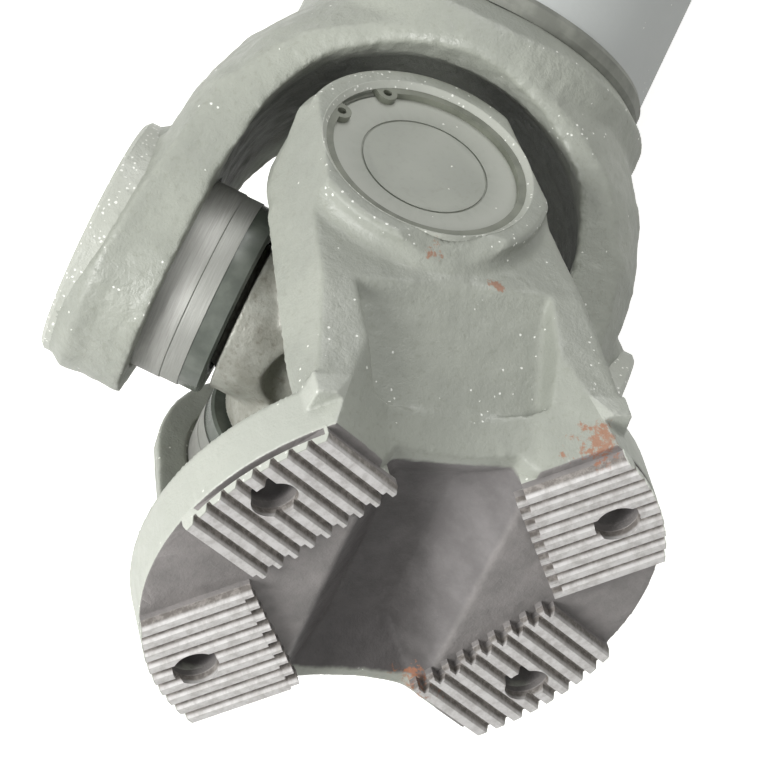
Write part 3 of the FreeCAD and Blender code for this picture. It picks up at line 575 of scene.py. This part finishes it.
def shaft_softness(x, y, z):
    """Machined faces stay crisp: bores, boss faces and the turned hub."""
    if abs(x) > 55 and math.hypot(y, z) < BORE_RADIUS + 1.5:
        return 0.05
    if abs(x) > BOSS_FACE - 5.0:
        return 0.1
    if z > HUB_EDGE - 4.0:
        return 0.0
    return 1.0


def cross_softness(x, y, z):
    """Ground journals stay crisp; the forged middle is soft."""
    return 0.0 if max(abs(x), abs(y)) > 35.0 else 1.0


def prism(shell, profile, start, end):
    """A closed prism along X of (y, z) points. Start and end give the X of each point."""
    near = [shell.verts.new((start(y), y, z)) for y, z in profile]
    far = [shell.verts.new((end(y), y, z)) for y, z in profile]
    for i in range(len(profile)):
        shell.faces.new((near[i], near[i - 1], far[i - 1], far[i]))
    shell.faces.new(near)
    shell.faces.new(list(reversed(far)))


def tooth_flank(centre, side):
    """A worn flank of a tooth as (y, z) points, from its root up."""
    return [
        (centre + side * TOOTH_ROOT_HALF, FLANGE_FACE - TOOTH_HEIGHT),
        (centre + side * (TOOTH_CREST_HALF + TOOTH_WEAR), FLANGE_FACE - TOOTH_WEAR * 1.5),
        (centre + side * TOOTH_CREST_HALF, FLANGE_FACE),
    ]


def pad_block(centres):
    """A pad's block along X, with its teeth on top and its foot let into the flange."""
    foot = PAD_BASE - PAD_FOOT
    edge = centres[-1] + TOOTH_ROOT_HALF
    profile = []
    for centre in centres:
        profile += tooth_flank(centre, -1) + tooth_flank(centre, 1)[::-1]
    profile += [(edge, foot), (-edge, foot)]
    shell = bmesh.new()
    prism(shell, profile, lambda y: PAD_INNER, lambda y: math.sqrt(FLANGE_RADIUS ** 2 - y * y))
    bmesh.ops.recalc_face_normals(shell, faces=shell.faces)
    return shell


def bolt_drill():
    """A rod where a pad's bolt hole goes."""
    shell = bmesh.new()
    bmesh.ops.create_cone(
        shell,
        cap_ends=True,
        segments=HOLE_STEPS,
        radius1=BOLT_HOLE,
        radius2=BOLT_HOLE,
        depth=4 * PAD_FOOT,
        matrix=Matrix.Translation((BOLT_CIRCLE, 0, PAD_BASE)),
    )
    return shell


def toothed_pad():
    """A pad along X: worn teeth, half teeth that run on at the inner end, and a bolt hole."""
    centres = [(i - (TEETH - 1) / 2) * TOOTH_PITCH for i in range(TEETH)]
    holder = held("pad_holder", pad_block(centres))
    drill = held("drill_holder", bolt_drill())
    hole = holder.modifiers.new("hole", "BOOLEAN")
    hole.operation = "DIFFERENCE"
    hole.solver = "EXACT"
    hole.object = drill
    pad = bmesh.new()
    pad.from_mesh(evaluated(holder))
    bpy.data.objects.remove(holder)
    bpy.data.objects.remove(drill)
    seat = PAD_BASE - PAD_SEAT
    for centre in centres:
        end = tooth_flank(centre, -1)
        end += [(centre, FLANGE_FACE), (centre, seat), (centre - TOOTH_ROOT_HALF, seat)]
        prism(pad, end, lambda y: PAD_INNER - TOOTH_END_STEP, lambda y: PAD_INNER + TOOTH_OVERLAP)
    bmesh.ops.recalc_face_normals(pad, faces=pad.faces)
    bmesh.ops.triangulate(pad, faces=pad.faces)
    return pad


def toothed_pads(yoke):
    """The four pads, crossed at the flange's angle, with their sharp edges."""
    pad = toothed_pad()
    single = bpy.data.meshes.new("single_pad")
    pad.to_mesh(single)
    pad.free()
    pads = bmesh.new()
    for angle in (PAD_ANGLE, 180 - PAD_ANGLE, 180 + PAD_ANGLE, -PAD_ANGLE):
        placed = single.copy()
        turn = Matrix.Rotation(math.radians(angle), 4, "Z")
        placed.transform(yoke @ Matrix.Scale(MM, 4) @ turn)
        pads.from_mesh(placed)
    return sharpened(pads)


def sharpened(shell):
    """Smooth faces with their machined edges kept sharp."""
    for face in shell.faces:
        face.smooth = True
    for edge in shell.edges:
        edge.smooth = edge.calc_face_angle(0.0) < math.radians(SHARP_EDGE)
    return shell


def bore_linings(yoke, boss):
    """Machined rings that carry each bearing: the bore, the circlip groove and the chamfered
    mouth, with the whole round boss where the yoke has one."""
    start = EAR_INNER_FACE + BOSS_CHAMFER
    outer = BORE_RADIUS + LINING
    profile = [
        (start, BORE_RADIUS),
        (CUP_END, BORE_RADIUS),
        (CUP_END, GROOVE_RADIUS),
        (CIRCLIP_END, GROOVE_RADIUS),
        (CIRCLIP_END, BORE_RADIUS),
        (BOSS_FACE - MOUTH_CHAMFER, BORE_RADIUS),
        (BOSS_FACE, BORE_RADIUS + MOUTH_CHAMFER),
    ]
    if boss:
        profile += [
            (BOSS_FACE, BOSS_RADIUS - BOSS_CHAMFER),
            (BOSS_FACE - BOSS_CHAMFER, BOSS_RADIUS),
            (BOSS_FACE - BOSS_RADIUS / 4, BOSS_RADIUS),
            (BOSS_FACE - BOSS_RADIUS / 4, outer),
        ]
    else:
        profile.append((BOSS_FACE, outer))
    profile.append((start, outer))
    shell = bmesh.new()
    ring = [shell.verts.new((x, 0, r)) for x, r in profile]
    line = [shell.edges.new((ring[i - 1], ring[i])) for i in range(len(ring))]
    turn = {"cent": (0, 0, 0), "axis": (1, 0, 0), "angle": 2 * math.pi, "steps": RING_STEPS}
    bmesh.ops.spin(shell, geom=ring + line, use_merge=True, **turn)
    one = list(shell.verts) + list(shell.edges) + list(shell.faces)
    bmesh.ops.mirror(shell, geom=one, axis="X", merge_dist=0.0)
    bmesh.ops.transform(shell, matrix=yoke @ Matrix.Scale(MM, 4), verts=shell.verts)
    bmesh.ops.recalc_face_normals(shell, faces=shell.faces)
    bmesh.ops.triangulate(shell, faces=shell.faces)
    return sharpened(shell)


def opened_bores(mesh, yoke):
    """Widens the remeshed bores a little, to go behind their machined linings."""
    inverse = yoke.inverted()
    least = BORE_RADIUS + LINING * 0.6
    for vertex in mesh.vertices:
        x, y, z = inverse @ vertex.co / MM
        radius = math.hypot(y, z)
        if abs(x) > EAR_INNER_FACE - 1.0 and 1.0 < radius < least:
            grow = least / radius
            vertex.co = yoke @ (Vector((x, y * grow, z * grow)) * MM)
    return mesh


def lipped_arch(mesh, yoke):
    """Thickens a fork's arch at its two open sides, where the die left it heavier."""
    inverse = yoke.inverted()
    for vertex in mesh.vertices:
        x, y, z = inverse @ vertex.co / MM
        out = math.hypot(x, z - ARCH_CENTRE)
        away = max(0.0, out - ARCH_RADIUS)
        if z > LIP_FOOT and 1.0 < out and away < LIP_DEPTH:
            bend = max(LIP_LEAST, math.cos(LIP_BEND * math.atan2(x, z)))
            side = min(1.0, max(0.0, (abs(y) - LIP_SIDE_START) / LIP_SIDE_RISE))
            foot = min(1.0, (z - LIP_FOOT) / LIP_FOOT_RISE)
            step = ARCH_LIP * bend * side * foot * (1.0 - away / LIP_DEPTH)
            inward = Vector((-x, 0, ARCH_CENTRE - z)) / out
            vertex.co = yoke @ ((Vector((x, y, z)) + inward * step) * MM)
    return mesh


def joined(mesh, *shells):
    """The mesh with the shells' faces added to it."""
    both = bmesh.new()
    both.from_mesh(mesh)
    for shell in shells:
        extra = bpy.data.meshes.new("extra")
        shell.to_mesh(extra)
        both.from_mesh(extra)
        shell.free()
    both.to_mesh(mesh)
    both.free()
    return mesh


body = merged_shell("flange_yoke_a")
cut_off_pads(body, FLANGE_A)
flange_mesh = forged("flange_yoke", body, FLANGE_A, flange_softness, 0.65, 26, 9.0, 0.5, 165000)
flange_mesh = opened_bores(flange_mesh, FLANGE_A)
flange_mesh = joined(flange_mesh, toothed_pads(FLANGE_A), bore_linings(FLANGE_A, False))
far_mesh = flange_mesh.copy()
far_mesh.transform(FLANGE_B @ FLANGE_A.inverted())
show("near_flange_yoke", flange_mesh, "flange_a", "flange_yoke_a", FINISHES["flange_a"])
show("far_flange_yoke", far_mesh, "flange_b", "flange_yoke_b", FINISHES["flange_b"])
tube_fork = merged_shell("tube_yoke")
tube_fork = forged("tube_yoke", tube_fork, TUBE_YOKE, shaft_softness, 1.25, 9, 7.0, 1.1, 190000)
tube_fork = joined(opened_bores(lipped_arch(tube_fork, TUBE_YOKE), TUBE_YOKE), bore_linings(TUBE_YOKE, True))
show("welded_fork", tube_fork, "shaft", "tube_yoke", FINISHES["tube_yoke"])
slip_fork = merged_shell("slip_yoke")
slip_fork = forged("slip_yoke", slip_fork, SLIP_YOKE, shaft_softness, 1.5, 12, 7.0, 1.0, 150000)
slip_fork = joined(opened_bores(lipped_arch(slip_fork, SLIP_YOKE), SLIP_YOKE), bore_linings(SLIP_YOKE, True))
show("sliding_fork", slip_fork, "slip_yoke", "slip_yoke", FINISHES["slip_yoke"])
for end, cross_frame in (("a", CROSS_A), ("b", CROSS_B)):
    node = "cross_" + end
    cross = forged(node, merged_shell(node), cross_frame, cross_softness, 0.9, 30, 8.0, 0.5, 60000)
    show("forged_" + node, cross, node, node, FINISHES["cross"])

NODE_FINISH = (
    ("bearing_cup_flange_a", "cup_flange_a"),
    ("bearing_cup_flange_b", "cup_flange_b"),
    ("bearing_cup_shaft_a", "cup_shaft_a"),
    ("bearing_cup_shaft_b", "cup_shaft_b"),
    ("cup_seal", "painted_seal"),
    ("circlip", "painted_clip"),
    ("needle_rollers", "roller"),
    ("thrust_washer", "washer"),
    ("cross_grease_nipple", "zinc"),
    ("slip_grease_nipple", "zinc"),
    ("shaft_tube", "tube"),
    ("tube_yoke_weld", "weld"),
    ("splined_shaft_weld", "weld"),
    ("balance_weight", "tube"),
    ("splined_shaft", "spline"),
    ("bore_plug", "zinc"),
    ("seal_cover", "zinc"),
    ("dust_seal", "rubber"),
)

for node, piece in frame["nodes"].items():
    for start, finish in NODE_FINISH:
        if node.startswith(start):
            for held in piece.material_slots:
                held.material = FINISHES[finish]
            break


# Floor, light and camera

def stage_floor():
    """White paper that keeps a soft shadow: the camera sees it a little lifted."""
    plane = bmesh.new()
    bmesh.ops.create_grid(plane, x_segments=1, y_segments=1, size=6.0)
    mesh = bpy.data.meshes.new("floor")
    plane.to_mesh(mesh)
    plane.free()
    floor = bpy.data.objects.new("floor", mesh)
    bpy.context.scene.collection.objects.link(floor)
    material, tree, place = new_material("white_paper")
    seen = add(tree, "LightPath", {}).outputs["Is Camera Ray"]
    lift = add(tree, "Math", {"operation": "MULTIPLY"}, seen, 0.7)
    paper = linear("#F2F2F0")
    shader = add(tree, "BsdfPrincipled", {}, paper, 0.0, 0.9, Emission_Color=paper, Emission_Strength=lift)
    add(tree, "OutputMaterial", {}, shader)
    floor.data.materials.append(material)


def lamp(name, place, target, size, watts):
    data = bpy.data.lights.new(name, "AREA")
    data.shape = "DISK"
    data.size = size
    data.energy = watts
    light = bpy.data.objects.new(name, data)
    bpy.context.scene.collection.objects.link(light)
    light.location = place
    light.rotation_euler = (Vector(target) - Vector(place)).to_track_quat("-Z", "Y").to_euler()


def world(strength):
    """A white tent: plain white to the camera and in reflections, dimmer as a light."""
    surround = bpy.data.worlds.new("studio")
    bpy.context.scene.world = surround
    surround.use_nodes = True
    tree = surround.node_tree
    tree.nodes.clear()
    ray = add(tree, "LightPath", {}).outputs
    seen = add(tree, "Math", {"operation": "ADD"}, ray["Is Camera Ray"], ray["Is Glossy Ray"])
    seen = add(tree, "Math", {"operation": "ADD", "use_clamp": True}, seen, ray["Is Transmission Ray"])
    level = add(tree, "MapRange", {}, seen, 0.0, 1.0, strength, 1.0)
    white = add(tree, "Background", {}, (1, 1, 1, 1), level)
    add(tree, "OutputWorld", {}, white)


def camera():
    """The photograph's view: a long lens from above end A, a little behind it."""
    data = bpy.data.cameras.new("camera")
    data.sensor_width = 36.0
    data.lens = 36.0 * 3619.4 / 768.0
    right = Vector((0.42298, -0.899895, 0.106189))
    down = Vector((-0.871386, -0.436093, -0.224731))
    view = Vector((0.248548, 0.002525, -0.968615))
    eye = bpy.data.objects.new("camera", data)
    bpy.context.scene.collection.objects.link(eye)
    eye.matrix_world = yoke_frame(right, -down, -view, Vector((-0.612631, -0.004739, 1.350044)))
    bpy.context.scene.camera = eye


stage_floor()
lamp("key", (-1.35, 0.95, 1.15), (-0.28, 0, 0.1), 0.9, 38.0)
lamp("front", (-0.8, -0.7, 1.7), (-0.28, 0, 0.1), 1.0, 7.0)
lamp("far", (1.3, 0.2, 1.4), (0.0, 0, 0.1), 1.4, 22.0)
world(0.13)
camera()
bpy.context.scene.view_settings.view_transform = "Standard"
